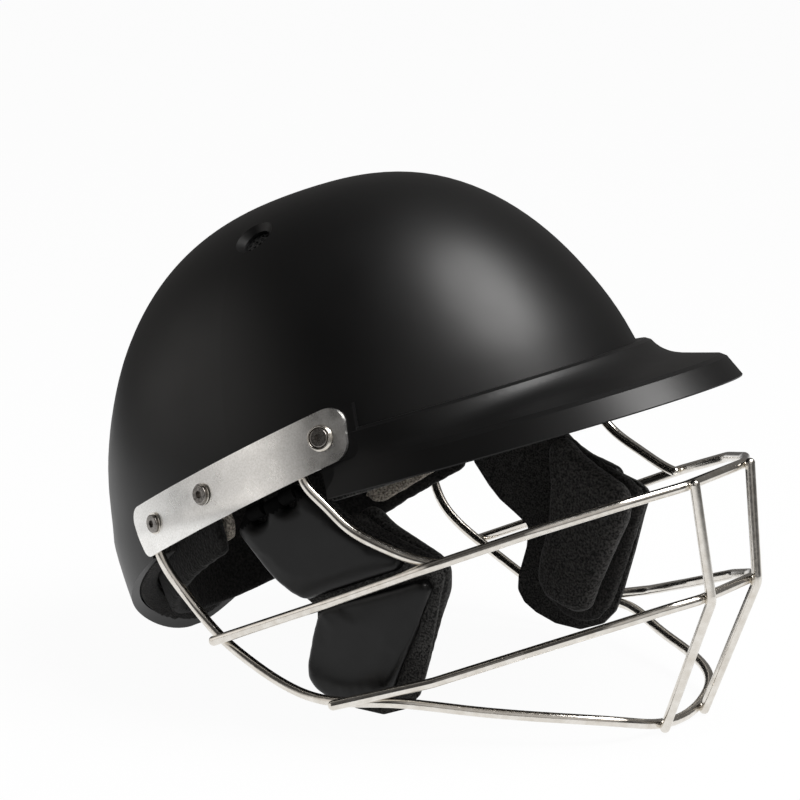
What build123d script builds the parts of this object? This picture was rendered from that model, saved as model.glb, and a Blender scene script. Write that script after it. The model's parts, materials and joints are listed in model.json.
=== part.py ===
from build123d import *
import os
from math import asin, atan2, cos, degrees, hypot, radians, sin, sqrt, tan

# A batting helmet: a hard shell with a peak, foam and fabric inside, two sprung ear guards
# and a steel face grille on two side plates.
# Lengths are in millimetres. The helmet's own frame has +X to the face, +Y to the wearer's left,
# +Z up, and its origin in the middle of the level where the shell is widest.
# The last lines lean the finished pieces back, as the helmet rests on a table.

# Shell
shell_half_width = 104.0
shell_front = 123.0
shell_rear = 137.6
shell_height = 132.2
shell_wall = 4.0
skirt_depth = 42.0
skirt_reach = 134.6
rise_power = 1.75
round_power = 2.52
skirt_power = 2.2
cut_overrun = 20.0
seat_gap = 0.1
hole_gap = 0.2

# Rim, in the side view
brow_level = 8.0
cheek_front = 41.0
cheek_rear = -63.5
cheek_margin = 7.0
neck_start = 3.5
neck_end = -33.0
neck_rear = -135.0
neck_shares = [(0, 0), (0.22, 0.12), (0.45, 0.27), (0.68, 0.46), (0.88, 0.71), (1, 1)]

# Side plates
plate_rear = -62.0
plate_front = 55.0
plate_low = 4.5
plate_tilt = 8.0
plate_width = 21.8
plate_wall = 1.8
plate_lift = 2.2
plate_tail_slant = 6.5
plate_nose_slant = -1.5
plate_bevel = 0.6
plate_tail_corner = 6.0
plate_heel_corner = 4.0
plate_nose_corner = 7.0
plate_brow_corner = 7.5

# Screws, washers, nuts and spacers of the plates
screw_head = 3.8
head_wall = 1.1
head_round = 0.5
screw_shank = 2.0
screw_socket = 1.7
socket_depth = 1.4
washer_rim = 4.5
washer_wall = 0.4
cup_rim = 5.4
cup_wall = 0.5
cup_height = 1.5
cup_crest = 4.9
cup_seat = 4.4
nut_radius = 3.8
nut_wall = 1.5
nut_sink = 0.5
spacer_radius = 4.5
tail_screw_x = -48.9
tail_screw_height = 10.9
middle_screw_x = -15.5
middle_screw_height = 12.0
nose_screw_x = 44.4
nose_screw_height = 10.9

# Peak
peak_centre = 20.0
peak_low = 6.5
peak_crease = 17.3
peak_lip = 31.0
peak_front = 168.0
crease_front = 162.5
lip_front = 124.0
peak_tuck = 4.0
crease_tuck = 7.2
peak_half_width = shell_half_width - peak_tuck
crease_half_width = shell_half_width - crease_tuck
peak_wall = 3.0
hem_chamfer = 0.6
crease_chamfer = 1.6
lip_chamfer = 1.3
peak_droop = 1.9
droop_pivot = 50.0
cove_shares = [(0.1, 0.22), (0.22, 0.46), (0.37, 0.69), (0.58, 0.85), (0.79, 0.94), (1, 1)]
ear_wall = 1.9
ear_rear = 22.0
ear_front = 58.5
ear_low = 20.0
ear_heel = 9.3
ear_top = 19.3

# Vents
vent_x = 7.5
vent_level = 118.0
vent_radius = 6.0
vent_sink = 9.3
vent_sink_angle = 100
screen_radius = 7.6
screen_wall = 0.8
mesh_hole = 0.9
mesh_ring_counts = [6, 12]
mesh_ring_radii = [2.6, 5.1]

# Liner and pads
liner_wall = 9.0
liner_gap = 0.3
liner_drop = 1.0
felt_wall = 2.0
pad_wall = 6.4
band_wall = 6.6
crown_pad_radius = 44.0
neck_pad_top = 22.0
neck_pad_front = -27.0
neck_pad_drop = 30.0
neck_pad_shares = [(0, 0.1), (0.35, 0.4), (0.6, 0.68), (0.82, 0.9), (1, 1)]
brow_pad_rear = -18.0
brow_pad_low = 30.0
brow_pad_front_low = 18.0
brow_pad_step = 26.0
brow_pad_top = 52.0
band_top = 50.0
band_front_low = 12.0
band_front_rear = 34.0
band_side_low = 31.0
band_side_rear = -28.0
band_right_low = 0.5
band_right_end = -41.0
band_left_low = 1.0
band_left_drop = 10.0
band_left_end = -71.0
band_corner = 5.0

# Grille wires, as shares of its reach, half width and drop
wire_radius = 2.1
weld_depth = 0.3
grille_reach = 158.0
grille_half_width = 99.0
grille_drop = 124.0
wire_bend = 24.0
front_bend = 10.0
wire_entry = 4.0
rim_wire_x = -57.1
front_wire_x = 33.0
rim_wire_shares = [
    (-0.336, 0.922, -0.119),
    (-0.259, 0.928, -0.286),
    (-0.199, 0.93, -0.374),
    (-0.031, 0.909, -0.556),
    (0.1, 0.897, -0.609),
    (0.185, 0.867, -0.638),
    (0.339, 0.715, -0.735),
    (0.521, 0.514, -0.849),
    (0.627, 0.315, -0.933),
    (0.643, 0.178, -0.971),
]
upper_bar_shares = [
    (0.147, 1.001, -0.266),
    (0.477, 0.936, -0.244),
    (0.725, 0.73, -0.235),
    (0.89, 0.46, -0.24),
    (0.978, 0.227, -0.248),
]
lower_bar_shares = [
    (0.31, 0.818, -0.613),
    (0.532, 0.626, -0.61),
    (0.741, 0.47, -0.607),
    (0.867, 0.303, -0.608),
    (0.906, 0.197, -0.613),
]
front_wire_shares = [
    (0.243, 0.99, 0.038),
    (0.281, 0.98, -0.043),
    (0.359, 0.955, -0.14),
    (0.429, 0.92, -0.209),
]
front_weld_share = 0.05
upper_overrun = 1.0
lower_overrun = 9.0
post_top = 21.0
post_waist = 17.5
post_foot = 15.0
post_bend = 8.0
post_head = 0.5
post_toe = 0.2

# Ear guards
guard_y = 84.5
guard_level = 11.0
guard_lean = 4.5
guard_length = 100.0
guard_wall = 7.0
guard_round = 3.0
upper_panel_corner = 5.0
lower_panel_corner = 4.0
backing_wall = 1.5
backing_corner = 4.0
core_wall = 4.6
guard_pad_wall = 8.4
cushion_corner = 7.0
layer_gap = 0.05
cushion_shares = [(0, 0.14), (0.3, 0.01), (0.7, 0.07), (1, 0.5)]
upper_panel_shares = [
    (-0.235, 0),
    (0.205, 0),
    (0.245, -0.05),
    (0.318, -0.205),
    (0.37, -0.278),
    (0.57, -0.487),
    (-0.055, -0.417),
    (-0.102, -0.37),
    (-0.146, -0.299),
    (-0.174, -0.224),
]
lower_panel_shares = [
    (-0.005, -0.462),
    (0.612, -0.548),
    (0.375, -0.73),
    (0.135, -0.897),
    (0.04, -0.905),
    (-0.085, -0.878),
    (-0.172, -0.822),
    (-0.22, -0.76),
    (-0.23, -0.7),
    (-0.2, -0.648),
    (-0.1, -0.545),
]
backing_shares = [
    (-0.218, -0.06),
    (0.24, -0.06),
    (0.322, -0.212),
    (0.373, -0.285),
    (0.481, -0.4),
    (0.575, -0.49),
    (0.62, -0.555),
    (0.545, -0.628),
    (0.43, -0.752),
    (0.286, -0.897),
    (0.213, -0.959),
    (0.125, -0.987),
    (0.004, -0.97),
    (-0.112, -0.9),
    (-0.19, -0.82),
    (-0.23, -0.757),
    (-0.238, -0.695),
    (-0.206, -0.64),
    (-0.106, -0.54),
    (-0.055, -0.46),
    (-0.104, -0.375),
    (-0.15, -0.3),
    (-0.178, -0.224),
]
core_shares = [
    (0.36, -0.18),
    (0.41, -0.272),
    (0.588, -0.48),
    (0.618, -0.545),
    (0.6, -0.607),
    (0.495, -0.71),
    (0.346, -0.846),
    (0.231, -0.941),
    (0.125, -0.977),
    (0.037, -0.954),
    (-0.035, -0.894),
    (-0.107, -0.762),
    (-0.072, -0.656),
    (0.051, -0.502),
    (0.155, -0.335),
    (0.242, -0.165),
]
guard_pad_shares = [
    (0.385, -0.18),
    (0.43, -0.29),
    (0.572, -0.49),
    (0.588, -0.552),
    (0.53, -0.642),
    (0.152, -0.93),
    (0.074, -0.909),
    (-0.041, -0.792),
    (-0.048, -0.7),
    (0.004, -0.617),
    (0.126, -0.472),
    (0.217, -0.323),
    (0.282, -0.172),
]

# Hinges of the ear guards
pin_radius = 1.2
pin_gap = 0.05
pin_rear = -15.0
pin_front = 17.0
hinge_gap = 0.4
knuckle_radius = 3.4
hanger_wall = 2.0
hanger_top = 13.0
hanger_rear = -16.0
hanger_front = 20.0
lug_radius = 3.1
lug_length = 8.0
lug_rear = -8.0
lug_front = 11.0
rivet_height = 9.3
rivet_head = 3.0
rivet_shank = 1.8
rivet_wall = 1.0


# Dome surface, from two superellipse formulas
def width_share(level):
    """The dome's breadth at a level, as a share of its breadth at the widest level."""
    if level >= 0:
        return (1 - (level / shell_height) ** rise_power) ** (1 / round_power)
    return (1 - (-level / skirt_reach) ** skirt_power) ** (1 / round_power)


def side_place(side, x, z, margin=0.0):
    """The plane that touches the dome on one side at x and z, its Z axis pointing out."""
    reach = (shell_front if x >= 0 else shell_rear) + margin
    half_width = shell_half_width + margin
    share = width_share(z)
    y = half_width * sqrt(share**2 - (x / reach) ** 2)
    slope = (width_share(z + seat_gap) - width_share(z - seat_gap)) / (2 * seat_gap)
    outward = Vector(x / reach**2, side * y / half_width**2, -share * slope)
    return Plane(origin=(x, side * y, z), z_dir=outward)


def both_sides(x, z, margin=0.0):
    """Planes on the right and on the left of the dome, margin outside it at x and z."""
    return [side_place(side, x, z).offset(margin) for side in (-1, 1)]


crown_steps = 9
crown_turns = [radians(90 * step / crown_steps) for step in range(crown_steps, -1, -1)]
crown_points = [(cos(turn) ** (2 / round_power), sin(turn) ** (2 / rise_power)) for turn in crown_turns]
skirt_shares = (0.33, 0.66, 1)
skirt_levels = [-skirt_depth * share for share in skirt_shares]
skirt_points = [(width_share(level), level / shell_height) for level in skirt_levels]

with BuildPart() as unit_half:
    with BuildSketch(Plane.YZ):
        with BuildLine():
            Spline(*crown_points, tangents=[(1, 0), (0, -1)])
            skirt = Spline((1, 0), *skirt_points)
            Polyline(skirt @ 1, (0, skirt_points[-1][1]), (0, 1))
        make_face()
    revolve(axis=Axis.Z, revolution_arc=180)


def dome(margin):
    """The dome as a solid, every semi-axis larger by margin, down to the skirt's depth."""
    half_width = shell_half_width + margin
    height = shell_height + margin
    unit_front = mirror(unit_half.part, about=Plane.YZ)
    rear_half = scale(unit_half.part, by=(shell_rear + margin, half_width, height))
    front_half = scale(unit_front, by=(shell_front + margin, half_width, height))
    return rear_half + front_half


def plate_edge(x, above=0.0):
    """The level of the side plate's lower edge at x."""
    return plate_low + above + (x - plate_rear) * tan(radians(plate_tilt))


far = shell_rear + cut_overrun


def side_cut(points, start=0.0, corner=0.0):
    """A prism of a side-view outline, from start to the far right."""
    with BuildPart() as prism:
        with BuildSketch(Plane.XZ.offset(start)):
            with BuildLine():
                FilletPolyline(*points, radius=corner, close=True)
            make_face()
        extrude(amount=far - start)
    return prism.part


def above_rim(drop, neck_drop):
    """Everything above the rim line, lowered by drop in front of the neck and by neck_drop behind."""
    front = cheek_front - drop
    rear = cheek_rear + drop
    neck_length = neck_rear - cheek_rear
    neck_fall = neck_end - neck_start
    neck_top = neck_start - neck_drop
    neck_line = [(rear + neck_length * along, neck_top + neck_fall * down) for along, down in neck_shares]
    with BuildPart() as slab:
        with BuildSketch(Plane.XZ):
            with BuildLine():
                neck = Spline(*neck_line)
                Polyline(
                    neck @ 1,
                    (-far, neck_end - neck_drop),
                    (-far, far),
                    (far, far),
                    (far, brow_level - drop),
                    (front, brow_level - drop),
                    (front, plate_edge(front, cheek_margin) - drop),
                    (rear, plate_edge(rear, cheek_margin) - drop),
                    neck @ 0,
                )
            make_face()
        extrude(amount=far, both=True)
    return slab.part


# Where the fasteners and the vents sit
tail_screw_z = plate_edge(tail_screw_x, tail_screw_height)
middle_screw_z = plate_edge(middle_screw_x, middle_screw_height)
nose_screw_z = plate_edge(nose_screw_x, nose_screw_height)
plate_top = plate_lift + plate_wall


def rear_places(margin):
    """The two screws at the tail and in the middle of each plate, margin outside the dome."""
    tail_places = both_sides(tail_screw_x, tail_screw_z, margin)
    return tail_places + both_sides(middle_screw_x, middle_screw_z, margin)


def front_places(margin):
    """The screw at the nose of each plate, margin outside the dome."""
    return both_sides(nose_screw_x, nose_screw_z, margin)


vent_places = both_sides(vent_x, vent_level)
lean = radians(guard_lean)
tilt = radians(plate_tilt)
guard_out = Vector(sin(lean) * sin(tilt), -cos(lean), -sin(lean) * cos(tilt))
guard_plane = Plane(origin=(0, -guard_y, guard_level), x_dir=(cos(tilt), 0, sin(tilt)), z_dir=guard_out)
rivet_places = [guard_plane * Location((along, rivet_height, 0)) for along in (lug_rear, lug_front)]
rivet_hole = rivet_shank + hole_gap
screw_hole = screw_shank + hole_gap

with BuildPart() as rivet_drills:
    with Locations(*rivet_places):
        Cylinder(rivet_hole, far - guard_y, align=(Align.CENTER, Align.CENTER, Align.MIN))
    mirror(about=Plane.XZ)

# Shell with its vents and holes
shell_skin = dome(0) - dome(-shell_wall)
shell_rim = above_rim(0, 0)
with BuildPart() as outer_shell:
    add(shell_skin)
    add(shell_rim, mode=Mode.INTERSECT)
    with Locations(*vent_places):
        CounterSinkHole(vent_radius, vent_sink, depth=cut_overrun, counter_sink_angle=vent_sink_angle)
    with Locations(*rear_places(0), *front_places(0)):
        Cylinder(screw_hole, cut_overrun, mode=Mode.SUBTRACT)
    add(rivet_drills.part, mode=Mode.SUBTRACT)

# Peak: a slanted band, a cove up to the lip, and two ears under the side plates
cove_sections = [
    (
        peak_crease + (peak_lip - peak_crease) * up,
        crease_front + (lip_front - crease_front) * back,
        crease_half_width,
    )
    for up, back in cove_shares
]
band_sections = [(peak_low, peak_front, peak_half_width), (peak_crease, crease_front, crease_half_width)]


def peak_form(drop, inset):
    """The peak as if it were solid, lowered by drop and smaller by inset all round."""
    with BuildPart() as form:
        for level, front, half_width in band_sections:
            with BuildSketch(Plane.XY.offset(level - drop)):
                with Locations((peak_centre, 0)):
                    Ellipse(front - peak_centre - inset, half_width - inset)
        loft(ruled=True)
        for level, front, half_width in band_sections[1:] + cove_sections:
            with BuildSketch(Plane.XY.offset(level - drop)):
                with Locations((peak_centre, 0)):
                    Ellipse(front - peak_centre - inset, half_width - inset)
        loft()
    return form.part


def level_edges(solid, level):
    """The edges of a solid that lie flat at a level."""
    return solid.edges().filter_by_position(Axis.Z, level - seat_gap, level + seat_gap)


ear_outline = [
    (ear_front, ear_low),
    (ear_front, plate_edge(ear_front, ear_top)),
    (ear_rear, plate_edge(ear_rear, ear_top)),
    (ear_rear, plate_edge(ear_rear, ear_heel)),
    (cheek_front, plate_edge(cheek_front, ear_heel)),
    (cheek_front, ear_low),
]
peak_bed = dome(seat_gap)
ears = (dome(seat_gap + ear_wall) - peak_bed) & side_cut(ear_outline, start=-far)
behind_peak = side_cut([(-far, -far), (cheek_front, -far), (cheek_front, far), (-far, far)], start=-far)
peak_outside = peak_form(0, 0)
with BuildPart() as level_peak:
    add(peak_outside)
    chamfer(level_edges(level_peak, peak_crease), crease_chamfer)
    chamfer(level_edges(level_peak, peak_lip), lip_chamfer)
    chamfer(level_edges(level_peak, peak_low), hem_chamfer)
droop = Pos(droop_pivot, 0, 0) * Rotation(0, peak_droop, 0) * Pos(-droop_pivot, 0, 0)
drooped_outside = droop * level_peak.part
drooped_inside = droop * peak_form(peak_wall, peak_wall)
with BuildPart() as peak:
    add(drooped_outside)
    add(behind_peak, mode=Mode.SUBTRACT)
    add(peak_bed, mode=Mode.SUBTRACT)
    add(drooped_inside, mode=Mode.SUBTRACT)
    add(ears)
    with Locations(*front_places(0)):
        Cylinder(screw_hole, cut_overrun, mode=Mode.SUBTRACT)

# Side plates
plate_outline = [
    (plate_rear, plate_edge(plate_rear)),
    (plate_front, plate_edge(plate_front)),
    (plate_front - plate_nose_slant, plate_edge(plate_front - plate_nose_slant, plate_width)),
    (plate_rear - plate_tail_slant, plate_edge(plate_rear - plate_tail_slant, plate_width)),
]
plate_corners = [plate_heel_corner, plate_nose_corner, plate_brow_corner, plate_tail_corner]
plate_blank = (dome(plate_top) - dome(plate_lift)) & side_cut(plate_outline, corner=plate_corners)
with BuildPart() as side_plate_right:
    add(plate_blank)
    chamfer(side_plate_right.faces().sort_by(SortBy.AREA)[-1].outer_wire().edges(), plate_bevel)
    with Locations(*rear_places(0), *front_places(0)):
        Cylinder(screw_hole, cut_overrun, mode=Mode.SUBTRACT)


def left_of(right):
    """The left-hand twin of a right-hand piece."""
    with BuildPart() as left:
        mirror(right.part, about=Plane.XZ)
    return left


side_plate_left = left_of(side_plate_right)

# One of each fastener, its Z axis along the screw and zero on the face that it seats on
grip = Align.CENTER, Align.CENTER, Align.MIN
hang = Align.CENTER, Align.CENTER, Align.MAX

with BuildPart() as socket_cutter:
    with BuildSketch(Plane.XY.offset(head_wall - socket_depth)):
        RegularPolygon(screw_socket, side_count=6)
    extrude(amount=cut_overrun)


def screw(length):
    """A round-headed screw with a hexagonal socket, seated at zero."""
    with BuildPart() as one:
        Cylinder(screw_head, head_wall, align=grip)
        fillet(one.edges().sort_by(Axis.Z)[-1], head_round)
        Cylinder(screw_shank, length, align=hang)
        add(socket_cutter.part, mode=Mode.SUBTRACT)
    return one.part


def ring(outer, inner, wall):
    """A flat ring that seats at zero."""
    with BuildPart() as one:
        Cylinder(outer, wall, align=grip)
        Cylinder(inner, wall, align=grip, mode=Mode.SUBTRACT)
    return one.part


with BuildPart() as cup:
    with BuildSketch(Plane.XZ):
        with BuildLine():
            Polyline(
                (cup_rim, 0),
                (cup_crest, cup_height),
                (cup_seat, cup_height),
                (cup_seat - cup_wall, cup_wall),
                (screw_hole, cup_wall),
                (screw_hole, 0),
                (cup_rim, 0),
            )
        make_face()
    revolve(axis=Axis.Z)
    fillet(cup.edges().group_by(Axis.Z)[-1], cup_wall / 2)


def set_out(one, places):
    """Copies of one piece, at each of the places."""
    with BuildPart() as group:
        with Locations(*places):
            add(one)
    return group


nut_depth = shell_wall + nut_sink
washer_seat = plate_top + 3 * seat_gap
rear_seat = washer_seat + washer_wall + seat_gap
front_seat = washer_seat + cup_wall + seat_gap
shank_overrun = nut_depth + nut_wall
rear_washers = set_out(ring(washer_rim, screw_hole, washer_wall), rear_places(washer_seat))
rear_screws = set_out(screw(rear_seat + shank_overrun), rear_places(rear_seat))
cup_washers = set_out(cup.part, front_places(washer_seat))
front_screws = set_out(screw(front_seat + shank_overrun), front_places(front_seat))
nut_places = rear_places(-nut_depth - nut_wall) + front_places(-nut_depth - nut_wall)
plate_nuts = set_out(ring(nut_radius, screw_hole, nut_wall), nut_places)

spacer_skin = dome(plate_lift - seat_gap) - dome(seat_gap)
spacer_core = set_out(ring(spacer_radius, screw_hole, cut_overrun), rear_places(-shell_wall)).part
with BuildPart() as plate_spacers:
    add(spacer_core)
    add(spacer_skin, mode=Mode.INTERSECT)

# Vent screens, seated under the shell
screen_sink = shell_wall + nut_sink
with BuildPart() as screen:
    Cylinder(screen_radius, screen_wall, align=hang)
    Cylinder(mesh_hole, cut_overrun, mode=Mode.SUBTRACT)
    for count, mesh_ring in zip(mesh_ring_counts, mesh_ring_radii):
        with PolarLocations(mesh_ring, count):
            Cylinder(mesh_hole, cut_overrun, mode=Mode.SUBTRACT)
vent_screens = set_out(screen.part, both_sides(vent_x, vent_level, -screen_sink))

# Liner and the felt along its edge
liner_outer = shell_wall + liner_gap
liner_inner = liner_outer + liner_wall
liner_skin = dome(-liner_outer) - dome(-liner_inner)
liner_rim = above_rim(liner_drop, -felt_wall)
with BuildPart() as impact_liner:
    add(liner_skin)
    add(liner_rim, mode=Mode.INTERSECT)
    with Locations(*vent_places):
        Cylinder(vent_radius, liner_inner + cut_overrun, mode=Mode.SUBTRACT)
    with Locations(*both_sides(vent_x, vent_level, -screen_sink - screen_wall - hole_gap)):
        Cylinder(screen_radius + hole_gap, cut_overrun, align=grip, mode=Mode.SUBTRACT)
    with Locations(*rear_places(-shank_overrun - hole_gap), *front_places(-shank_overrun - hole_gap)):
        Cylinder(nut_radius + hole_gap, cut_overrun, align=grip, mode=Mode.SUBTRACT)
    add(rivet_drills.part, mode=Mode.SUBTRACT)

felt_skin = dome(-liner_outer - layer_gap) - dome(-liner_inner + layer_gap)
felt_rim = above_rim(liner_drop + felt_wall, 0) - above_rim(liner_drop + layer_gap, layer_gap - felt_wall)
with BuildPart() as edge_felt:
    add(felt_skin)
    add(felt_rim, mode=Mode.INTERSECT)
    add(rivet_drills.part, mode=Mode.SUBTRACT)

# Pads inside the liner
pad_outer = liner_inner + liner_gap
pad_inner = pad_outer + pad_wall
pad_skin = dome(-pad_outer) - dome(-pad_inner)
neck_pad_edge = [
    (neck_pad_front + (neck_rear - neck_pad_front) * along, -neck_pad_drop * down)
    for along, down in neck_pad_shares
]
neck_pad_outline = [
    (neck_pad_front, neck_pad_top),
    *neck_pad_edge,
    (-far, -neck_pad_drop),
    (-far, neck_pad_top),
]
neck_pad_cut = side_cut(neck_pad_outline, start=-far, corner=band_corner)
with BuildPart() as neck_pad:
    add(pad_skin)
    add(neck_pad_cut, mode=Mode.INTERSECT)

brow_outline = [
    (brow_pad_rear, brow_pad_top),
    (brow_pad_rear, brow_pad_low),
    (band_front_rear, brow_pad_low),
    (band_front_rear + brow_pad_step, brow_pad_front_low),
    (far, brow_pad_front_low),
    (far, brow_pad_top),
]
brow_cut = side_cut(brow_outline, start=-far, corner=band_corner)
with BuildPart() as brow_foam:
    add(pad_skin)
    add(brow_cut, mode=Mode.INTERSECT)

band_outer = pad_inner + liner_gap
band_skin = dome(-band_outer) - dome(-band_outer - band_wall)
band_front_outline = [
    (band_side_rear, band_side_low),
    (band_front_rear, band_side_low),
    (band_front_rear + band_side_low - band_front_low, band_front_low),
    (far, band_front_low),
    (far, band_top),
]
band_right_outline = [
    (band_right_end, band_top),
    (band_right_end, band_right_low),
    (band_side_rear, band_right_low),
    *band_front_outline,
]
band_left_outline = [
    (band_left_end, band_top),
    (band_left_end, band_left_low - band_left_drop),
    (band_side_rear, band_left_low),
    *band_front_outline,
]
band_right_cut = side_cut(band_right_outline, corner=band_corner)
right_half = side_cut([(-far, -far), (far, -far), (far, far), (-far, far)])
band_left_cut = side_cut(band_left_outline, start=-far, corner=band_corner) - right_half
with BuildPart() as sweatband:
    add(band_skin)
    add(band_right_cut + band_left_cut, mode=Mode.INTERSECT)

with BuildPart() as crown_pad:
    add(pad_skin)
    Cylinder(crown_pad_radius, far, align=grip, mode=Mode.INTERSECT)


# Grille
weld_step = 2 * wire_radius - weld_depth


def grille_points(shares):
    """Points on the left half of the grille."""
    return [Vector(grille_reach * x, grille_half_width * y, grille_drop * z) for x, y, z in shares]


def other_side(points):
    """The same points on the other half of the grille, in the other order."""
    return [Vector(point.X, -point.Y, point.Z) for point in reversed(points)]


def under_plate(x, above):
    """The centre of a wire that is welded to the inner face of the left side plate."""
    return side_place(1, x, plate_edge(x, above), plate_lift).offset(weld_depth - wire_radius).origin


def welded(point, along, way, side):
    """Where a wire that goes one way crosses outside (1) or inside (-1) a wire that runs along another."""
    across = along.cross(way).normalized()
    return point + across * (weld_step * side if across.Y > 0 else -weld_step * side)


def drawn_back(point, next_point, overrun):
    """The point moved away from the next one by overrun."""
    return point + (point - next_point).normalized() * overrun


def round_wire(points, radii):
    """A round wire with round ends along filleted points."""
    with BuildPart() as wire:
        with BuildLine() as path:
            FilletPolyline(*points, radius=radii)
        with BuildSketch(Plane(origin=path.line @ 0, z_dir=path.line % 0)):
            Circle(wire_radius)
        sweep()
        with Locations(points[0], points[-1]):
            Sphere(wire_radius)
    return wire


def smooth_wire(points):
    """A round wire with round ends along a smooth curve through points."""
    with BuildPart() as wire:
        with BuildLine() as path:
            Spline(*points)
        with BuildSketch(Plane(origin=path.line @ 0, z_dir=path.line % 0)):
            Circle(wire_radius)
        sweep()
        with Locations(points[0], points[-1]):
            Sphere(wire_radius)
    return wire


rim_wire_half = grille_points(rim_wire_shares)
rim_wire_points = [under_plate(rim_wire_x, wire_entry), under_plate(rim_wire_x, 0), *rim_wire_half]
perimeter_wire = smooth_wire(rim_wire_points + other_side(rim_wire_points))

upper_half = grille_points(upper_bar_shares)
before_weld, upper_crossing, after_weld = rim_wire_half[:3]
upper_weld = welded(upper_crossing, after_weld - before_weld, upper_half[0] - upper_crossing, 1)
upper_points = [drawn_back(upper_weld, upper_half[0], upper_overrun), *upper_half]
half_radii = [wire_bend] * (len(upper_half) - 1) + [front_bend]
upper_bar = round_wire(upper_points + other_side(upper_points), half_radii + half_radii[::-1])

lower_half = grille_points(lower_bar_shares)
before_weld, lower_crossing, after_weld = rim_wire_half[3:6]
lower_weld = welded(lower_crossing, after_weld - before_weld, lower_half[0] - lower_crossing, 1)
lower_points = [drawn_back(lower_weld, lower_half[0], lower_overrun), *lower_half]
half_radii = [wire_bend] * (len(lower_half) - 1) + [front_bend]
lower_bar = round_wire(lower_points + other_side(lower_points), half_radii + half_radii[::-1])

front_half = grille_points(front_wire_shares)
front_crossing = upper_half[1] + (upper_half[2] - upper_half[1]) * front_weld_share
front_weld = welded(front_crossing, upper_half[2] - upper_half[1], Vector(0, 0, 1), -1)
front_top = [under_plate(front_wire_x, wire_entry), under_plate(front_wire_x, 0)]
front_wire_left = smooth_wire([*front_top, *front_half, front_weld])
front_wire_right = left_of(front_wire_left)

# Uprights in front of the bars, one weld step out from each
upper_front = upper_half[-1]
lower_front = lower_half[-1]
chin = rim_wire_half[-1]
upper_way = Vector(upper_front.X - lower_front.X, 0, upper_front.Z - lower_front.Z).normalized()
lower_way = Vector(lower_front.X - chin.X, 0, lower_front.Z - chin.Z).normalized()
upper_out = Vector(upper_way.Z, 0, -upper_way.X)
lower_out = Vector(lower_way.Z, 0, -lower_way.X)
head = upper_front + upper_out * weld_step + upper_way * post_head
waist = lower_front + (upper_out + lower_out) * (weld_step / (1 + upper_out.dot(lower_out)))
toe = chin + lower_out * weld_step - lower_way * post_toe
post_points = [(head.X, post_top, head.Z), (waist.X, post_waist, waist.Z), (toe.X, post_foot, toe.Z)]
upright_left = round_wire(post_points, post_bend)
upright_right = left_of(upright_left)

# Right ear guard: two panels on a backing sheet, a core and an inner pad
panel_face = guard_wall / 2
backing_face = -panel_face - layer_gap
core_face = backing_face - backing_wall - layer_gap
guard_pad_face = core_face - core_wall - layer_gap
guard_axis = Axis(guard_plane.origin, guard_plane.z_dir)
strap_low = panel_face + hinge_gap
pin_place = guard_plane * Location(((pin_rear + pin_front) / 2, 0, 0), (0, 90, 0))
lug_places = [guard_plane * Location((along, 0, 0), (0, 90, 0)) for along in (lug_rear, lug_front)]


def on_guard(shares):
    """Points in the plane of the ear guard."""
    return [(guard_length * along, guard_length * up) for along, up in shares]


with BuildPart() as guard_upper_right:
    with BuildSketch(guard_plane.offset(panel_face)):
        with BuildLine():
            FilletPolyline(*on_guard(upper_panel_shares), radius=upper_panel_corner, close=True)
        make_face()
    extrude(amount=-guard_wall)
    fillet(guard_upper_right.faces().sort_by(guard_axis)[-1].edges(), guard_round)
    with Locations(pin_place):
        Cylinder(knuckle_radius, pin_front - pin_rear)
    with Locations(*lug_places):
        Box(far, 2 * strap_low, lug_length + 2 * hinge_gap, mode=Mode.SUBTRACT)
    with Locations(pin_place):
        Cylinder(pin_radius + pin_gap, far, mode=Mode.SUBTRACT)

with BuildPart() as guard_lower_right:
    with BuildSketch(guard_plane.offset(panel_face)):
        with BuildLine():
            FilletPolyline(*on_guard(lower_panel_shares), radius=lower_panel_corner, close=True)
        make_face()
    extrude(amount=-guard_wall)
    fillet(guard_lower_right.faces().sort_by(guard_axis)[-1].edges(), guard_round)

with BuildPart() as guard_backing_right:
    with BuildSketch(guard_plane.offset(backing_face)):
        with BuildLine():
            FilletPolyline(*on_guard(backing_shares), radius=backing_corner, close=True)
        make_face()
    extrude(amount=-backing_wall)

with BuildPart() as guard_core_right:
    for depth, inset in cushion_shares:
        with BuildSketch(guard_plane.offset(core_face - core_wall * depth)):
            with BuildLine():
                FilletPolyline(*on_guard(core_shares), radius=cushion_corner, close=True)
            make_face()
            offset(amount=-core_wall * inset)
    loft()

with BuildPart() as guard_pad_right:
    for depth, inset in cushion_shares:
        with BuildSketch(guard_plane.offset(guard_pad_face - guard_pad_wall * depth)):
            with BuildLine():
                FilletPolyline(*on_guard(guard_pad_shares), radius=cushion_corner, close=True)
            make_face()
            offset(amount=-guard_pad_wall * inset)
    loft()

# Hinge of the right ear guard: a hanger riveted through liner and shell, and a pin
liner_room = dome(-liner_inner - seat_gap)
rivet_columns = set_out(Cylinder(rivet_head, far - guard_y, align=grip), rivet_places).part
boss_blank = rivet_columns & liner_room
with BuildPart() as hanger_right:
    with BuildSketch(guard_plane.offset(hanger_wall / 2)):
        with Locations(((hanger_rear + hanger_front) / 2, (strap_low + hanger_top) / 2)):
            Rectangle(hanger_front - hanger_rear, hanger_top - strap_low)
        with Locations((lug_rear, strap_low / 2), (lug_front, strap_low / 2)):
            Rectangle(lug_length, strap_low)
    extrude(amount=-hanger_wall)
    add(boss_blank)
    with Locations(*lug_places):
        Cylinder(lug_radius, lug_length)
    with Locations(pin_place):
        Cylinder(pin_radius + pin_gap, far, mode=Mode.SUBTRACT)
    with Locations(*rivet_places):
        Cylinder(rivet_hole, far - guard_y, mode=Mode.SUBTRACT)

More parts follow.
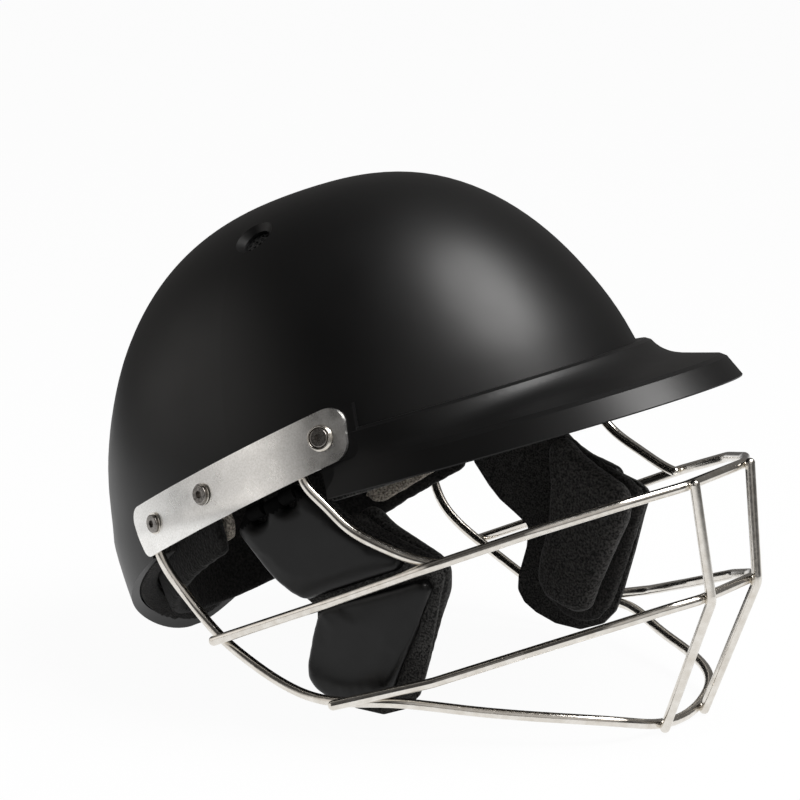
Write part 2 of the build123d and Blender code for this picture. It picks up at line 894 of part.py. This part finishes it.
with BuildPart() as rivet:
    with Locations((0, 0, -hanger_wall / 2)):
        Cylinder(rivet_head, rivet_wall, align=hang)
        Cylinder(rivet_shank, far - guard_y, align=grip)
cap_dome = dome(seat_gap + rivet_wall)
rivet_caps = (cap_dome - peak_bed) & rivet_columns
right_rivets = set_out(rivet.part, rivet_places).part & cap_dome
with BuildPart() as hanger_rivets:
    add(right_rivets + rivet_caps)
    mirror(about=Plane.XZ)

with BuildPart() as hinge_pins:
    with Locations(pin_place):
        Cylinder(pin_radius, pin_front - pin_rear - 2 * pin_gap)
    mirror(about=Plane.XZ)

pieces = {
    "outer_shell": outer_shell,
    "peak": peak,
    "side_plate_right": side_plate_right,
    "side_plate_left": side_plate_left,
    "rear_washers": rear_washers,
    "rear_screws": rear_screws,
    "cup_washers": cup_washers,
    "front_screws": front_screws,
    "plate_nuts": plate_nuts,
    "plate_spacers": plate_spacers,
    "vent_screens": vent_screens,
    "impact_liner": impact_liner,
    "edge_felt": edge_felt,
    "neck_pad": neck_pad,
    "brow_foam": brow_foam,
    "sweatband": sweatband,
    "crown_pad": crown_pad,
    "perimeter_wire": perimeter_wire,
    "upper_bar": upper_bar,
    "lower_bar": lower_bar,
    "front_wire_right": front_wire_right,
    "front_wire_left": front_wire_left,
    "upright_right": upright_right,
    "upright_left": upright_left,
    "hanger_right": hanger_right,
    "hanger_left": left_of(hanger_right),
    "hanger_rivets": hanger_rivets,
    "hinge_pins": hinge_pins,
    "guard_upper_right": guard_upper_right,
    "guard_lower_right": guard_lower_right,
    "guard_backing_right": guard_backing_right,
    "guard_core_right": guard_core_right,
    "guard_pad_right": guard_pad_right,
    "guard_upper_left": left_of(guard_upper_right),
    "guard_lower_left": left_of(guard_lower_right),
    "guard_backing_left": left_of(guard_backing_right),
    "guard_core_left": left_of(guard_core_right),
    "guard_pad_left": left_of(guard_pad_right),
}

# The resting lean: the feet of the uprights and the neck edge touch the table together
foot_span = hypot(toe.X - neck_rear, toe.Z - neck_end)
rest_lean = degrees(asin(wire_radius / foot_span) - atan2(toe.Z - neck_end, toe.X - neck_rear))
leaned = Rotation(0, -rest_lean, 0)
lowest = (leaned * Pos(*toe)).position.Z - wire_radius
whole = Compound([leaned * piece.part for piece in pieces.values()]).bounding_box()
stand = Pos(-whole.center().X, 0, -lowest) * leaned

os.makedirs("parts", exist_ok=True)
for name, piece in pieces.items():
    piece.part = stand * piece.part
    piece.part.label = name
    export_step(piece.part, f"parts/{name}.step")
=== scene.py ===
# %% [markdown]
# # A cricket helmet, finished in Blender
# The helmet arrives as a frame of solid parts, each riding on the body that moves it. This lesson
# dresses that frame. Hard parts keep their shape and get a finish of their own, and everything that
# is sewn or padded is modelled again as a soft piece. We start by clearing the empty scene and
# keeping the box of the solids, because the dressed helmet must not outgrow it.

# %% Load the frame
import json

import bmesh
import bpy
from mathutils import Matrix, Vector

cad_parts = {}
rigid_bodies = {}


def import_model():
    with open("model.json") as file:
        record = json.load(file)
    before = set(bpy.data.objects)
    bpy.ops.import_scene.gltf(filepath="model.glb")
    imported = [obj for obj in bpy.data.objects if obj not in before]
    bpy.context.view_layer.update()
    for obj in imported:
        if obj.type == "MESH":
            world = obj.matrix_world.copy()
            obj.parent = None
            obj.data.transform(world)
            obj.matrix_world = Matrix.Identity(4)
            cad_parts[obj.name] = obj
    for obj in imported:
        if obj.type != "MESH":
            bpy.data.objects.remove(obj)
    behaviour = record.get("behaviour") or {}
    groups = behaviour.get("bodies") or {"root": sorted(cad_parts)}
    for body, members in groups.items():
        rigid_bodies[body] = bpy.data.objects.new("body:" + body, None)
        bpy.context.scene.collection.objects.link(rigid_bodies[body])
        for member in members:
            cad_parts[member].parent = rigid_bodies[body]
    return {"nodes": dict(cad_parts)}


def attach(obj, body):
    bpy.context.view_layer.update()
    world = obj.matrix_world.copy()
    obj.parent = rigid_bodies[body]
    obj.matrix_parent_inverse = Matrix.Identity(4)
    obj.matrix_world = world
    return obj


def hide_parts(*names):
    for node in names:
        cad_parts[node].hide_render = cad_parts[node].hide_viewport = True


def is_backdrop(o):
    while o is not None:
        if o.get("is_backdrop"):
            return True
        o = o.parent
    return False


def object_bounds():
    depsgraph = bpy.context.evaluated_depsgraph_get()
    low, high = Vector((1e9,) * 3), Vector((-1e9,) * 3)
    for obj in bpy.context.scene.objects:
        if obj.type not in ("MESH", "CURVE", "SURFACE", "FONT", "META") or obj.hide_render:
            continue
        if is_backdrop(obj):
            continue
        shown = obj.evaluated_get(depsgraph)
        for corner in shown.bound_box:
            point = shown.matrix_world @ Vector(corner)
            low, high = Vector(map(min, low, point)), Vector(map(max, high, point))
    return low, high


for leftover in list(bpy.data.objects):
    bpy.data.objects.remove(leftover)
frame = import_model()
nodes = frame["nodes"]
solid_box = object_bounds()
print("solids:", len(nodes), "box from", solid_box[0][:], "to", solid_box[1][:])

# %% [markdown]
# ## The camera
# The photograph was taken from about 1.7 m, in front of the helmet on its right and a little above
# it. A long lens keeps the grille's bars nearly parallel. The camera is built from the three
# directions of its own frame, so nothing has to be aimed by eye.

# %% Place the camera
camera_place = Vector((0.95334, -1.32480, 0.50467))
to_right = Vector((0.80894, 0.58779, -0.01233))
to_top = Vector((-0.12538, 0.19298, 0.97317))
to_back = Vector((0.57439, -0.78566, 0.22980))
lens = bpy.data.cameras.new("long_lens")
lens.lens = 180
lens.sensor_width = 36
lens.clip_start = 0.1
camera = bpy.data.objects.new("camera", lens)
bpy.context.scene.collection.objects.link(camera)
camera.matrix_world = Matrix([
    [to_right[row], to_top[row], to_back[row], camera_place[row]] for row in range(3)
] + [[0, 0, 0, 1]])
bpy.context.scene.camera = camera
bpy.context.scene.view_settings.view_transform = "Standard"
print("camera stands", round(camera_place.length, 2), "m from the helmet's foot")

# %% [markdown]
# ## Starting a finish
# Every finish is one Principled shader. What is the same all over the surface is set on the
# shader's own sockets. What varies comes from textures that are looked up at the piece's own
# coordinates in metres, so a grain of half a millimetre is written as such.

# %% A finish and its place
MM = 0.001


def new_finish(name, **sockets):
    """A material with one Principled shader whose sockets are set by name."""
    made = bpy.data.materials.new(name)
    made.use_nodes = True
    shader = made.node_tree.nodes["Principled BSDF"]
    for socket, value in sockets.items():
        shader.inputs[socket.replace("_", " ")].default_value = value
    return made


def place_of(made):
    """The socket that gives a point's place on the piece, in metres."""
    tree = made.node_tree
    found = tree.nodes.get("place") or tree.nodes.new("ShaderNodeTexCoord")
    found.name = "place"
    return found.outputs["Object"]


# %% [markdown]
# Two textures are enough for this helmet. Cloudy noise makes grain, dents and uneven gloss. Cells
# make whatever is packed from small round things: foam beads, the loops of a cloth, pores.

# %% Two textures
def noise(made, size, detail=2):
    """Cloudy noise whose clouds are about size metres across."""
    tree = made.node_tree
    texture = tree.nodes.new("ShaderNodeTexNoise")
    texture.inputs["Scale"].default_value = 1 / size
    texture.inputs["Detail"].default_value = detail
    tree.links.new(place_of(made), texture.inputs["Vector"])
    return texture.outputs["Fac"]


def cells(made, size):
    """Rounded cells of about size metres, like beads, loops or pores."""
    tree = made.node_tree
    texture = tree.nodes.new("ShaderNodeTexVoronoi")
    texture.inputs["Scale"].default_value = 1 / size
    tree.links.new(place_of(made), texture.inputs["Vector"])
    return texture.outputs["Distance"]


# %% [markdown]
# A texture can do three things to a surface: wander between two colours, wander between two
# roughnesses, or raise it. Most of a noise lies between 0.3 and 0.7, so that range is stretched
# over the whole way from one look to the other.

# %% What a texture does to the surface
MOST_FROM, MOST_TO = 0.3, 0.7


def eased(tree, value, start, end, low, high):
    """Maps a value from start..end to low..high along a soft curve."""
    ranged = tree.nodes.new("ShaderNodeMapRange")
    ranged.interpolation_type = "SMOOTHSTEP"
    limits = {"From Min": start, "From Max": end, "To Min": low, "To Max": high}
    for socket, number in limits.items():
        ranged.inputs[socket].default_value = number
    tree.links.new(value, ranged.inputs["Value"])
    return ranged.outputs["Result"]


def shade(made, value, dark, light, start=MOST_FROM, end=MOST_TO):
    """Colours the surface with dark where the texture is below start and light above end."""
    tree = made.node_tree
    ramp = tree.nodes.new("ShaderNodeValToRGB")
    for stop, place, colour in zip(ramp.color_ramp.elements, (start, end), (dark, light)):
        stop.position = place
        stop.color = (*colour, 1)
    tree.links.new(value, ramp.inputs["Fac"])
    tree.links.new(ramp.outputs["Color"], tree.nodes["Principled BSDF"].inputs["Base Color"])


def roughen(made, value, low, high):
    """Lets the gloss wander between two roughnesses."""
    tree = made.node_tree
    wandering = eased(tree, value, MOST_FROM, MOST_TO, low, high)
    tree.links.new(wandering, tree.nodes["Principled BSDF"].inputs["Roughness"])


def relief(made, value, depth):
    """Raises the surface by up to depth metres where the texture is bright, over earlier relief."""
    tree = made.node_tree
    shader = tree.nodes["Principled BSDF"]
    bump = tree.nodes.new("ShaderNodeBump")
    bump.inputs["Distance"].default_value = depth
    below = shader.inputs["Normal"].links
    if below:
        tree.links.new(below[0].from_socket, bump.inputs["Normal"])
    tree.links.new(value, bump.inputs["Height"])
    tree.links.new(bump.outputs["Normal"], shader.inputs["Normal"])


def wear(solids, made):
    """Gives CAD solids a finish."""
    for name in solids:
        nodes[name].data.materials.clear()
        nodes[name].data.materials.append(made)
    print(made.name, "on", ", ".join(solids))


# %% [markdown]
# ## Shell and peak
# The shell is moulded plastic with a satin surface. Up close it has a very fine sprayed grain and
# the gloss is never quite even, so the highlight on the crown melts away softly instead of ending
# at an edge. Two noises do that, one of half a millimetre and one as wide as a hand.

# %% Satin black shell
shell_black = new_finish("shell_black", Base_Color=(0.0022, 0.0022, 0.0023, 1),
                         Specular_IOR_Level=0.26)
roughen(shell_black, noise(shell_black, 60 * MM, detail=3), low=0.38, high=0.44)
relief(shell_black, noise(shell_black, 0.5 * MM), depth=0.012 * MM)
wear(["outer_shell", "peak"], shell_black)

# %% [markdown]
# ## Side plates
# The plates are metal with a blasted face: thousands of tiny dents that blur what they reflect. A
# metal's colour is its reflection, so the dents are relief, the faint clouds are roughness, and the
# colour itself wanders only a little. The chamfer round the edge needs no finish of its own: it
# leans another way, so it shows as a line.

# %% Blasted plate metal
plate_metal = new_finish("plate_metal", Metallic=1.0)
shade(plate_metal, noise(plate_metal, 0.7 * MM, detail=3),
      dark=(0.84, 0.83, 0.80), light=(0.98, 0.97, 0.95), start=0.35, end=0.65)
roughen(plate_metal, noise(plate_metal, 9 * MM, detail=4), low=0.26, high=0.36)
relief(plate_metal, noise(plate_metal, 0.45 * MM), depth=0.01 * MM)
wear(["side_plate_right", "side_plate_left"], plate_metal)

# %% [markdown]
# ## Polished grille
# The grille is bent from steel wire, welded and polished by hand, which leaves its colour and gloss
# slightly uneven. Warm, nearly white steel with a low roughness shows the studio as long stripes.
# The washers, nuts and rivets are of the same bright steel.

# %% Polished steel
bright_steel = new_finish("bright_steel", Metallic=1.0)
shade(bright_steel, noise(bright_steel, 4 * MM, detail=3),
      dark=(0.66, 0.62, 0.56), light=(0.80, 0.77, 0.72))
roughen(bright_steel, noise(bright_steel, 1.5 * MM, detail=3), low=0.13, high=0.22)
relief(bright_steel, noise(bright_steel, 0.25 * MM), depth=0.004 * MM)
grille = ["perimeter_wire", "upper_bar", "lower_bar", "front_wire_right", "front_wire_left",
          "upright_right", "upright_left"]
wear(grille + ["rear_washers", "cup_washers", "plate_nuts", "hanger_rivets"], bright_steel)

# %% [markdown]
# ## Screws
# The screws are darker than the washers under them, as oiled or blackened steel is. They stay
# metal, so the lights still run round their heads, but their colour is a third as bright.

# %% Darkened screws
dark_steel = new_finish("dark_steel", Metallic=1.0)
shade(dark_steel, noise(dark_steel, 1.2 * MM, detail=3),
      dark=(0.16, 0.15, 0.14), light=(0.34, 0.32, 0.30))
roughen(dark_steel, noise(dark_steel, 0.8 * MM, detail=3), low=0.24, high=0.38)
wear(["rear_screws", "front_screws"], dark_steel)

# %% [markdown]
# ## Small black fittings
# Rubber spacers hold the plates off the shell, fine mesh closes the vents, and the hangers of the
# ear guards are covered in dull tape. All three are nearly black, so it is their gloss that tells
# them apart: the mesh shines a little, the rubber less, and the tape hardly at all.

# %% Rubber spacers
rubber_black = new_finish("rubber_black", Base_Color=(0.012, 0.012, 0.012, 1))
roughen(rubber_black, noise(rubber_black, 3 * MM, detail=3), low=0.6, high=0.75)
relief(rubber_black, noise(rubber_black, 0.4 * MM), depth=0.02 * MM)
wear(["plate_spacers"], rubber_black)

# %% Mesh of the vents
mesh_black = new_finish("mesh_black", Base_Color=(0.010, 0.010, 0.010, 1))
roughen(mesh_black, noise(mesh_black, 2 * MM, detail=3), low=0.45, high=0.6)
relief(mesh_black, cells(mesh_black, 0.6 * MM), depth=0.03 * MM)
wear(["vent_screens"], mesh_black)

# %% Tape of the hinges
hinge_tape = new_finish("hinge_tape", Base_Color=(0.004, 0.004, 0.004, 1),
                        Specular_IOR_Level=0.08)
roughen(hinge_tape, noise(hinge_tape, 2 * MM, detail=3), low=0.8, high=0.95)
relief(hinge_tape, noise(hinge_tape, 0.5 * MM), depth=0.03 * MM)
wear(["hanger_right", "hanger_left", "hinge_pins"], hinge_tape)

# %% [markdown]
# ## Foam liner
# Rigid helmet foam is made of beads about two millimetres across, pressed together in a mould.
# Cells of that size, with painted shade darkening the seams between them, read as foam at once when
# the helmet is turned over. A cell's value grows from its middle to its seam, so a depth below zero
# sinks the seams.

# %% Beaded foam
BEAD = 2.4 * MM
liner_foam = new_finish("liner_foam", Roughness=0.88)
# painted shade in the seams: the cells' middles get 0.030 and their seams the darker 0.012
shade(liner_foam, cells(liner_foam, BEAD),
      dark=(0.030, 0.030, 0.031), light=(0.012, 0.012, 0.012), start=0.1, end=0.7)
relief(liner_foam, cells(liner_foam, BEAD), depth=-0.25 * MM)
wear(["impact_liner"], liner_foam)

# %% [markdown]
# ## Cloths
# Five cloths are sewn in. Felt is a mat of grey fibres, the towelling has small loops, and the
# black cloths are knitted. Each gets a speckle of the size that the photograph shows, relief of
# about the same size, and a little sheen for the fluff on top.

# %% Cloth finishes
def cloth_finish(name, dark, light, loop, depth, sheen):
    """Knit or pile: speckles and relief of loop metres, with sheen for its fluff."""
    made = new_finish(name, Roughness=0.95, Sheen_Weight=sheen, Sheen_Roughness=0.5,
                      Specular_IOR_Level=0.2)
    shade(made, noise(made, loop, detail=3), dark, light, start=0.38, end=0.64)
    relief(made, cells(made, loop * 1.1), -depth)
    relief(made, noise(made, loop * 0.5), depth * 0.6)
    print(name, "has loops of", round(loop / MM, 2), "mm")
    return made


grey_felt = cloth_finish(
    "grey_felt", dark=(0.006, 0.006, 0.006), light=(0.075, 0.073, 0.070),
    loop=0.8 * MM, depth=0.25 * MM, sheen=0.1)
black_fabric = cloth_finish(
    "black_fabric", dark=(0.004, 0.004, 0.004), light=(0.022, 0.021, 0.020),
    loop=1.2 * MM, depth=0.3 * MM, sheen=0.1)
beige_towelling = cloth_finish(
    "beige_towelling", dark=(0.20, 0.175, 0.145), light=(0.74, 0.67, 0.58),
    loop=0.9 * MM, depth=0.4 * MM, sheen=0.2)
guard_foam = cloth_finish(
    "guard_foam", dark=(0.006, 0.006, 0.006), light=(0.045, 0.043, 0.041),
    loop=0.9 * MM, depth=0.25 * MM, sheen=0.12)
guard_cloth = cloth_finish(
    "guard_cloth", dark=(0.006, 0.006, 0.006), light=(0.075, 0.072, 0.069),
    loop=1.0 * MM, depth=0.3 * MM, sheen=0.2)
wear(["guard_backing_right", "guard_backing_left"], grey_felt)

# %% [markdown]
# ## Skin of the ear guards
# The outer panels of the ear guards are wrapped in smooth black sheet. It is about as glossy as
# the shell, but it has small pores instead of a sprayed grain, and its gloss wanders faster.

# %% Smooth skin of the ear guards
guard_black = new_finish("guard_black", Base_Color=(0.003, 0.003, 0.0031, 1),
                         Specular_IOR_Level=0.26)
roughen(guard_black, noise(guard_black, 14 * MM, detail=3), low=0.34, high=0.42)
relief(guard_black, cells(guard_black, 0.5 * MM), depth=-0.008 * MM)
print(guard_black.name, "waits for the skins")

# %% [markdown]
# ## Making a pad
# A pad starts as the solid's own form, rebuilt from small even squares so that cloth can bend
# everywhere. Smoothing rounds its edges, and it is drawn in a little to make room.

# %% The pad's form
WELD = 0.01 * MM


def bake(piece):
    """Turns the modifiers' result into the piece's own mesh."""
    evaluated = piece.evaluated_get(bpy.context.evaluated_depsgraph_get())
    mesh = bpy.data.meshes.new_from_object(evaluated)
    piece.modifiers.clear()
    piece.data = mesh


def as_cloth_body(name, node, voxel, draw_in, softness):
    """The node's form in even squares, smoothed softness times and drawn in by draw_in metres."""
    work = bmesh.new()
    work.from_mesh(nodes[node].data)
    bmesh.ops.remove_doubles(work, verts=work.verts, dist=WELD)
    mesh = bpy.data.meshes.new(name)
    work.to_mesh(mesh)
    work.free()
    piece = bpy.data.objects.new(name, mesh)
    bpy.context.scene.collection.objects.link(piece)
    even = piece.modifiers.new("even", "REMESH")
    even.mode = "VOXEL"
    even.voxel_size = voxel
    smooth = piece.modifiers.new("smooth", "SMOOTH")
    smooth.iterations = softness
    bake(piece)
    normals = [vertex.normal.copy() for vertex in piece.data.vertices]
    for vertex, normal in zip(piece.data.vertices, normals):
        vertex.co -= normal * draw_in
    return piece


# %% [markdown]
# Then air pressure swells the pad like stuffing, in a short cloth simulation. A cap on how far a
# point may move keeps it inside its place. Gravity is off, because a pad is glued to what carries
# it.

# %% The pad's stuffing
PRESSURE = 4
SWELLING_STEPS = 20


def stuff(piece, cap):
    """Swells the piece like stuffing, with no point moving more than cap metres."""
    start = [vertex.co.copy() for vertex in piece.data.vertices]
    bpy.context.view_layer.objects.active = piece
    cloth = piece.modifiers.new("cloth", "CLOTH")
    cloth.settings.use_pressure = True
    cloth.settings.uniform_pressure_force = PRESSURE
    cloth.settings.effector_weights.gravity = 0
    for step in range(1, SWELLING_STEPS + 1):
        bpy.context.scene.frame_set(step)
    bake(piece)
    bpy.context.scene.frame_set(1)
    for vertex, before in zip(piece.data.vertices, start):
        moved = vertex.co - before
        if moved.length > cap:
            vertex.co = before + moved * (cap / moved.length)


# %% [markdown]
# The whole pad is made by one helper.

# %% A whole pad
def pad(name, node, body, made, voxel=2.5 * MM, draw_in=0.7 * MM, cap=0.8 * MM,
        softness=2):
    """A padded piece in place of a node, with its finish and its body."""
    piece = as_cloth_body(name, node, voxel, draw_in, softness)
    stuff(piece, cap)
    smoother = piece.modifiers.new("smoother", "SUBSURF")
    smoother.levels = smoother.render_levels = 1
    piece.data.materials.clear()
    piece.data.materials.append(made)
    for face in piece.data.polygons:
        face.use_smooth = True
    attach(piece, body)
    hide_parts(node)
    print(name, "has", len(piece.data.vertices), "points and stands for", node)
    return piece


# %% [markdown]
# ## Pads inside the shell
# A towelling band goes round the head, foam sits behind the brow and on the crown, and a thicker
# pad wraps the neck. All are made the same way, with the cloth that each is covered in. The felt
# along the rim is thin, so it is built from the smallest squares and hardly swells.

# %% Pads of the shell
pad("band_of_towelling", "sweatband", "helmet", beige_towelling)
pad("brow_cushion", "brow_foam", "helmet", black_fabric)
pad("crown_cushion", "crown_pad", "helmet", black_fabric)
pad("neck_cushion", "neck_pad", "helmet", black_fabric,
    voxel=2.2 * MM, softness=5)
pad("felt_edge", "edge_felt", "helmet", grey_felt,
    voxel=0.9 * MM, draw_in=0.2 * MM, cap=0.2 * MM, softness=8)

# %% [markdown]
# ## Skins of the ear guards
# Outside, each ear guard has an upper and a lower skin with a crease between them. Near the hinge
# the skin is covered by the same dull tape as the hangers, so the faces there get the tape as a
# second finish. Seen from the side, they are the ones above a line a little below the hinge.

# %% A skin and its hinge tape
HINGE = Vector((-0.01905, 0, 0.08970))
ABOVE_HINGE = Vector((-0.48674, 0, 0.87355))
TAPE_BELOW_HINGE = 3.5 * MM
TAPE_FINISH = 1


def guard_skin(half, side):
    """The upper or lower skin of one ear guard, with tape near the hinge."""
    skin = pad(f"{half}_skin_{side}", f"guard_{half}_{side}", f"guard_{side}",
               guard_black,
               voxel=1.4 * MM, draw_in=0.1 * MM, cap=1.1 * MM, softness=10)
    skin.data.materials.append(hinge_tape)
    for face in skin.data.polygons:
        if (face.center - HINGE).dot(ABOVE_HINGE) > -TAPE_BELOW_HINGE:
            face.material_index = TAPE_FINISH


# %% [markdown]
# ## Cushions of the ear guards
# Behind its skins, each guard is a foam core with a cloth cushion toward the ear. All of them ride
# on the guard's own body, so they swing with it.

# %% The ear guards
for side in ("right", "left"):
    pad(f"core_cushion_{side}", f"guard_core_{side}", f"guard_{side}", guard_foam,
        voxel=1.8 * MM, draw_in=0.5 * MM, cap=0.6 * MM)
    pad(f"ear_cushion_{side}", f"guard_pad_{side}", f"guard_{side}", guard_cloth,
        voxel=1.8 * MM, draw_in=0.6 * MM, cap=1.0 * MM)
    for half in ("upper", "lower"):
        guard_skin(half, side)

# %% [markdown]
# ## Background and reflections
# The photograph was cut out on white, so the camera sees a white world, while the studio that the
# helmet really stood in is told by its reflections. The shell's edges are dark: the room behind it
# was dim. The side plate is bright at its tail and fades to its nose: a wide panel stood at the
# camera's left. A weaker card above the camera, a little to its right, puts a soft light on the
# side that faces it, and the glow on the crown comes from overhead. Each of them is a soft spot on
# the world, and shiny things see the sum.

# %% What shiny things see
world = bpy.data.worlds.new("studio")
bpy.context.scene.world = world
world.use_nodes = True
room = world.node_tree
room.nodes.clear()
direction = room.nodes.new("ShaderNodeTexCoord").outputs["Generated"]


def glow_toward(aim, edge, middle, at_edge, at_middle):
    """Brightness round one direction: edge and middle are cosines of the angle to it."""
    lined_up = room.nodes.new("ShaderNodeVectorMath")
    lined_up.operation = "DOT_PRODUCT"
    lined_up.inputs[1].default_value = Vector(aim).normalized()
    room.links.new(direction, lined_up.inputs[0])
    return eased(room, lined_up.outputs["Value"], edge, middle, at_edge, at_middle)


def summed(tree, first, second):
    """The sum of two values."""
    added = tree.nodes.new("ShaderNodeMath")
    added.operation = "ADD"
    tree.links.new(first, added.inputs[0])
    tree.links.new(second, added.inputs[1])
    return added.outputs["Value"]


dim_room = glow_toward((0.57, -0.79, 0.23), edge=-0.3, middle=0.8, at_edge=0.15, at_middle=0.05)
left_panel = glow_toward((-0.82, -0.57, -0.05), edge=0.70, middle=0.96, at_edge=0, at_middle=0.95)
right_card = glow_toward((0.66, -0.52, 0.54), edge=0.72, middle=0.96, at_edge=0, at_middle=0.5)
overhead = glow_toward((0.47, 0.16, 0.87), edge=0.92, middle=0.975, at_edge=0, at_middle=5)
reflected = dim_room
for panel in (left_panel, right_card, overhead):
    reflected = summed(room, reflected, panel)
print("shiny things see a dim room with three bright spots")

# %% [markdown]
# Which world a ray meets depends on its kind. The camera's own rays meet white, rays that leave a
# shiny surface meet the studio, and all others meet an even, weak light, so that plain surfaces
# aren't lit from one side by things that only reflections should tell.

# %% The world
def mixed(tree, share, first, second):
    """A shader between two others: the second where share is 1."""
    both = tree.nodes.new("ShaderNodeMixShader")
    for place, source in enumerate((share, first, second)):
        tree.links.new(source, both.inputs[place])
    return both.outputs["Shader"]


rays = room.nodes.new("ShaderNodeLightPath")
seen, shiny, plain = (room.nodes.new("ShaderNodeBackground") for _ in range(3))
seen.inputs["Color"].default_value = (1, 1, 1, 1)
shiny.inputs["Color"].default_value = (1, 0.97, 0.94, 1)
room.links.new(reflected, shiny.inputs["Strength"])
plain.inputs["Color"].default_value = (0.24, 0.24, 0.24, 1)
for_objects = mixed(room, rays.outputs["Is Glossy Ray"],
                    plain.outputs["Background"], shiny.outputs["Background"])
for_all = mixed(room, rays.outputs["Is Camera Ray"], for_objects, seen.outputs["Background"])
world_out = room.nodes.new("ShaderNodeOutputWorld")
room.links.new(for_all, world_out.inputs["Surface"])
print("world ready")

# %% [markdown]
# ## The floor
# The floor is a white sheet. To the camera it glows almost as white as the background, and the
# last part is lit by the lamp, so the helmet's own shadow stays on it, faintly. Shiny things see
# a painted pool of light round the helmet: the floor's glow is bright there and fades out less than
# a metre away. Beyond it, the wires reflect the dim floor as the dark outline that keeps them apart
# from a white page.

# %% How bright the floor glows
FLOOR_WIDTH = 8
POOL_FROM, POOL_TO = 0.35, 0.95
POOL_BRIGHTNESS, BEYOND_POOL = 1.0, 0.1
bpy.ops.mesh.primitive_plane_add(size=FLOOR_WIDTH, location=(0, 0, -0.5 * MM))
floor = bpy.context.active_object
floor.name = "floor"
floor_white = bpy.data.materials.new("floor_white")
floor_white.use_nodes = True
sheet = floor_white.node_tree
sheet.nodes.clear()
floor_rays = sheet.nodes.new("ShaderNodeLightPath")
far_away = sheet.nodes.new("ShaderNodeVectorMath")
far_away.operation = "LENGTH"
sheet.links.new(sheet.nodes.new("ShaderNodeTexCoord").outputs["Object"], far_away.inputs[0])
# painted pool of light: to shiny things the floor glows brightly near the helmet and dimly farther
# out
painted_light_pool = eased(sheet, far_away.outputs["Value"], POOL_FROM, POOL_TO, POOL_BRIGHTNESS, BEYOND_POOL)
white_to_camera = sheet.nodes.new("ShaderNodeMix")
sheet.links.new(floor_rays.outputs["Is Camera Ray"], white_to_camera.inputs["Factor"])
sheet.links.new(painted_light_pool, white_to_camera.inputs["A"])
white_to_camera.inputs["B"].default_value = 1
glow = sheet.nodes.new("ShaderNodeEmission")
glow.inputs["Color"].default_value = (1, 1, 1, 1)
sheet.links.new(white_to_camera.outputs["Result"], glow.inputs["Strength"])
print("floor", floor.dimensions[:])

# %% [markdown]
# A matt white lies under that glow. Rays from shiny things meet the glow alone, the camera meets
# mostly the glow, and every other ray meets the matt white.

# %% How matt and glow share the floor
GLOW_TO_CAMERA = 0.96
matt = sheet.nodes.new("ShaderNodeBsdfDiffuse")
matt.inputs["Color"].default_value = (0.9, 0.9, 0.9, 1)
camera_share = sheet.nodes.new("ShaderNodeMath")
camera_share.operation = "MULTIPLY"
camera_share.inputs[1].default_value = GLOW_TO_CAMERA
sheet.links.new(floor_rays.outputs["Is Camera Ray"], camera_share.inputs[0])
glow_share = summed(sheet, floor_rays.outputs["Is Glossy Ray"], camera_share.outputs["Value"])
floor_out = sheet.nodes.new("ShaderNodeOutputMaterial")
sheet.links.new(mixed(sheet, glow_share, matt.outputs["BSDF"], glow.outputs["Emission"]),
                floor_out.inputs["Surface"])
floor.data.materials.append(floor_white)
floor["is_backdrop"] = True
print("floor wears", floor_white.name)

# %% [markdown]
# ## The lamp
# One round softbox hangs over the helmet, a little in front, where the crown's glow says that it
# was. It is wide, so the edge of each shadow is soft.

# %% Softbox overhead
HELMET_MIDDLE = Vector((0, 0, 0.12))
SOFTBOX_DISTANCE = 1.2
toward_softbox = Vector((0.45, 0.14, 0.88)).normalized()
lamp = bpy.data.lights.new("overhead_softbox", "AREA")
lamp.shape = "DISK"
lamp.size = 0.78
lamp.energy = 17
softbox = bpy.data.objects.new("overhead_softbox", lamp)
bpy.context.scene.collection.objects.link(softbox)
softbox.location = HELMET_MIDDLE + toward_softbox * SOFTBOX_DISTANCE
softbox.rotation_mode = "QUATERNION"
softbox.rotation_quaternion = toward_softbox.to_track_quat("Z", "Y")
print("softbox at", [round(value, 2) for value in softbox.location])

# %% [markdown]
# ## Sizes and the last line
# The dressed helmet is measured against the box of the solids, and how far it grows is printed.

# %% Measure and finish
visual_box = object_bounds()
for axis, low, high in zip("xyz", visual_box[0] - solid_box[0], visual_box[1] - solid_box[1]):
    print(axis, "grows by", round(low / MM, 2), "and", round(high / MM, 2), "mm")
